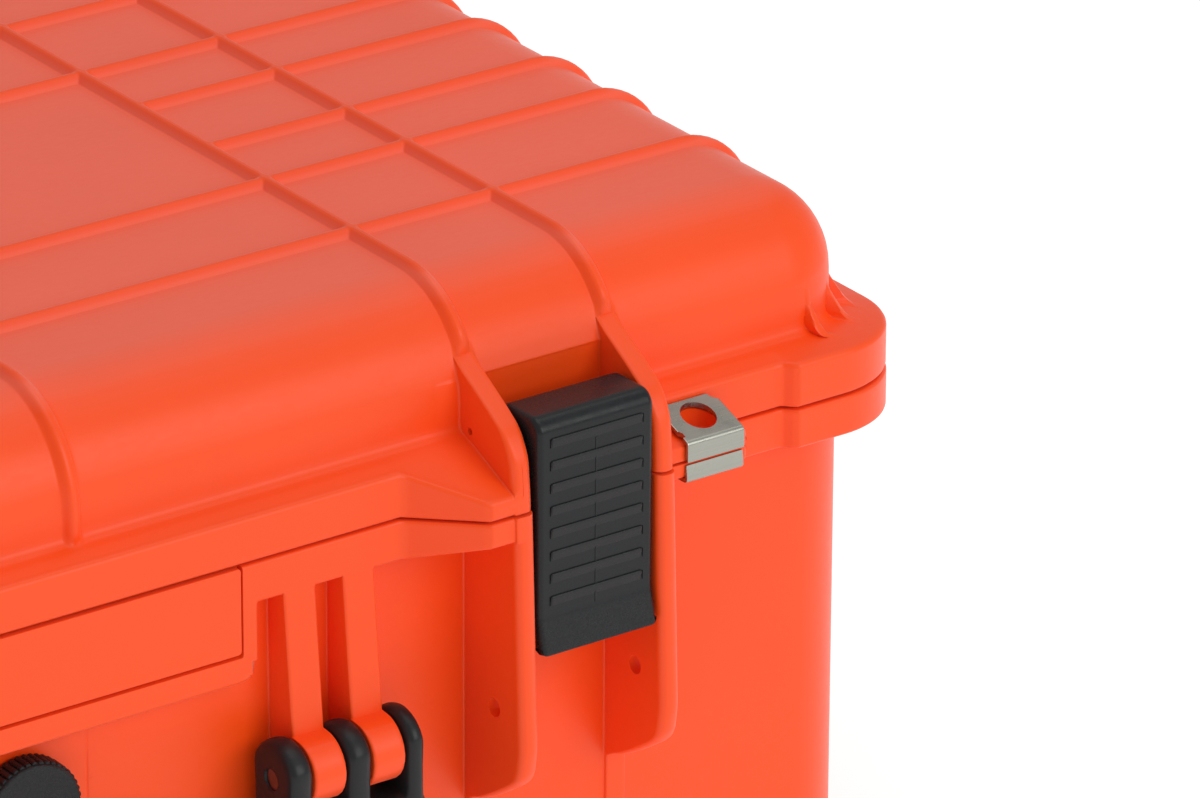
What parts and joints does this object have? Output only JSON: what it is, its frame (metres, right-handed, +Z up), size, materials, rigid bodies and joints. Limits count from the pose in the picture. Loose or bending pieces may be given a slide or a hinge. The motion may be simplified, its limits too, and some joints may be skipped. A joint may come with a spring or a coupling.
{
  "type": "first aid case",
  "caption": "Rugged hard case for first aid supplies: deep base, hinged ribbed lid, lever latches, drop handle, pressure valve and padded compartments.",
  "frame": {"origin": "middle of the base's flat underside", "axes": "+X along the front to the right, -Y out of the front with the latches and the handle, +Z up through the lid"},
  "size_m": [0.533, 0.3185, 0.2107],
  "materials": {
    "shell_plastic": "satin moulded orange plastic",
    "panel_plastic": "satin orange plastic insert",
    "seal_rubber": "soft black rubber",
    "latch_plastic": "satin charcoal plastic",
    "handle_plastic": "satin charcoal plastic",
    "grip_rubber": "matte moulded rubber",
    "pin_steel": "plain steel",
    "plate_steel": "satin stainless sheet",
    "foam": "dark open foam",
    "divider_fabric": "padded woven cloth",
    "bandage_fabric": "woven cotton gauze",
    "wrapper_paper": "plain paper wrappers",
    "tape_fabric": "woven cloth tape",
    "bottle_plastic": "white moulded plastic",
    "cap_plastic": "blue moulded plastic",
    "pack_plastic": "pale blue plastic film"
  },
  "bodies": {
    "base": {"base_shell": "shell_plastic", "name_panel": "panel_plastic", "lock_plate_lower_left": "plate_steel", "lock_plate_lower_right": "plate_steel", "hinge_pin_left": "pin_steel", "hinge_pin_right": "pin_steel", "handle_pin_left": "pin_steel", "handle_pin_right": "pin_steel", "valve_body": "latch_plastic", "valve_washer": "seal_rubber", "valve_nut": "latch_plastic", "floor_pad": "foam", "divider_left": "divider_fabric", "divider_right": "divider_fabric", "bandage_rolls": "bandage_fabric", "dressing_packs": "wrapper_paper", "tape_rolls": "tape_fabric", "antiseptic_bottle": "bottle_plastic", "bottle_cap": "cap_plastic", "cold_pack": "pack_plastic"},
    "lid": {"lid_shell": "shell_plastic", "lid_seal": "seal_rubber", "lid_foam": "foam", "lock_plate_upper_left": "plate_steel", "lock_plate_upper_right": "plate_steel", "latch_pin_left": "pin_steel", "latch_pin_right": "pin_steel"},
    "latch_left": {"latch_lever_left": "latch_plastic", "hook_pin_left": "pin_steel"},
    "latch_right": {"latch_lever_right": "latch_plastic", "hook_pin_right": "pin_steel"},
    "hook_left": {"latch_hook_left": "latch_plastic"},
    "hook_right": {"latch_hook_right": "latch_plastic"},
    "carry_handle": {"handle_frame": "handle_plastic", "handle_grip": "grip_rubber"},
    "vent_knob": {"valve_knob": "latch_plastic", "valve_stem": "pin_steel"}
  },
  "joints": [
    {"name": "lid_hinge", "type": "hinge", "parent": "base", "child": "lid", "pos_m": [0, 0.152, 0.16], "axis": [-1, 0, 0], "range_deg": [0, 105]},
    {"name": "latch_left_swing", "type": "hinge", "parent": "lid", "child": "latch_left", "pos_m": [-0.1555, -0.141, 0.176], "axis": [-1, 0, 0], "range_deg": [0, 95]},
    {"name": "latch_right_swing", "type": "hinge", "parent": "lid", "child": "latch_right", "pos_m": [0.1555, -0.141, 0.176], "axis": [-1, 0, 0], "range_deg": [0, 95]},
    {"name": "hook_left_swing", "type": "hinge", "parent": "latch_left", "child": "hook_left", "pos_m": [-0.1555, -0.15, 0.158], "axis": [-1, 0, 0], "range_deg": [-82, 0]},
    {"name": "hook_right_swing", "type": "hinge", "parent": "latch_right", "child": "hook_right", "pos_m": [0.1555, -0.15, 0.158], "axis": [-1, 0, 0], "range_deg": [-82, 0]},
    {"name": "handle_swing", "type": "hinge", "parent": "base", "child": "carry_handle", "pos_m": [0, -0.147, 0.103], "axis": [-1, 0, 0], "range_deg": [0, 100]},
    {"name": "vent_knob_turn", "type": "hinge", "parent": "base", "child": "vent_knob", "pos_m": [0, -0.139, 0.11], "axis": [0, -1, 0], "range_deg": [0, 360]}
  ],
  "couplings": [
    {"joint": "hook_left_swing", "follows": "latch_left_swing", "ratio": -0.85},
    {"joint": "hook_right_swing", "follows": "latch_right_swing", "ratio": -0.85}
  ]
}
